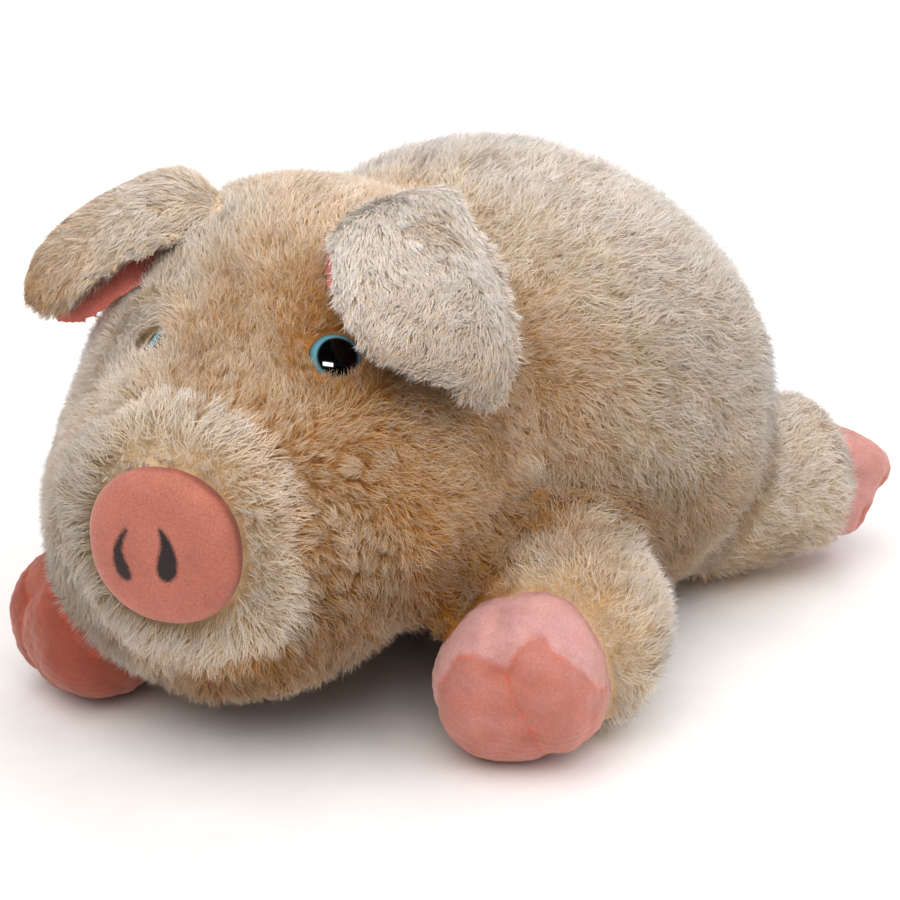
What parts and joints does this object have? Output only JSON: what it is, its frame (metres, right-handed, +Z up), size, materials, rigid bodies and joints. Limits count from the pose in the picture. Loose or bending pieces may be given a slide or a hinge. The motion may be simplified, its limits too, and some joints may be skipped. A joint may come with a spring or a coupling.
{
  "type": "plush toy pig",
  "caption": "Stuffed plush pig toy lying on its belly with its head turned, short frosted pile, velour nose, feet and ear linings, domed plastic eyes and floppy ears",
  "frame": {"origin": "Middle of the bounding box in plan, at floor level, so the toy rests on the plane Z = 0.", "axes": "The body lies along Y with the rump towards +Y and the head towards -Y. +X is the pig's own left side. +Z is up. The head is turned about 19 degrees to the pig's left."},
  "size_m": [0.2188, 0.2902, 0.1578],
  "materials": {
    "tan_plush": "short frosted pile",
    "cream_plush": "short cream pile",
    "salmon_velour": "fine velour nap",
    "eye_plastic": "glossy dome, teal round a black pupil"
  },
  "bodies": {
    "root": {"torso": "tan_plush", "head": "tan_plush", "nose": "salmon_velour", "eye_left": "eye_plastic", "eye_right": "eye_plastic", "ear_left": "cream_plush", "ear_right": "cream_plush", "ear_lining_left": "salmon_velour", "ear_lining_right": "salmon_velour", "foreleg_left": "cream_plush", "foreleg_right": "cream_plush", "forefoot_left": "salmon_velour", "forefoot_right": "salmon_velour", "hindleg_left": "cream_plush", "hindleg_right": "cream_plush", "hindfoot_left": "salmon_velour", "hindfoot_right": "salmon_velour", "tail": "salmon_velour"}
  },
  "joints": []
}
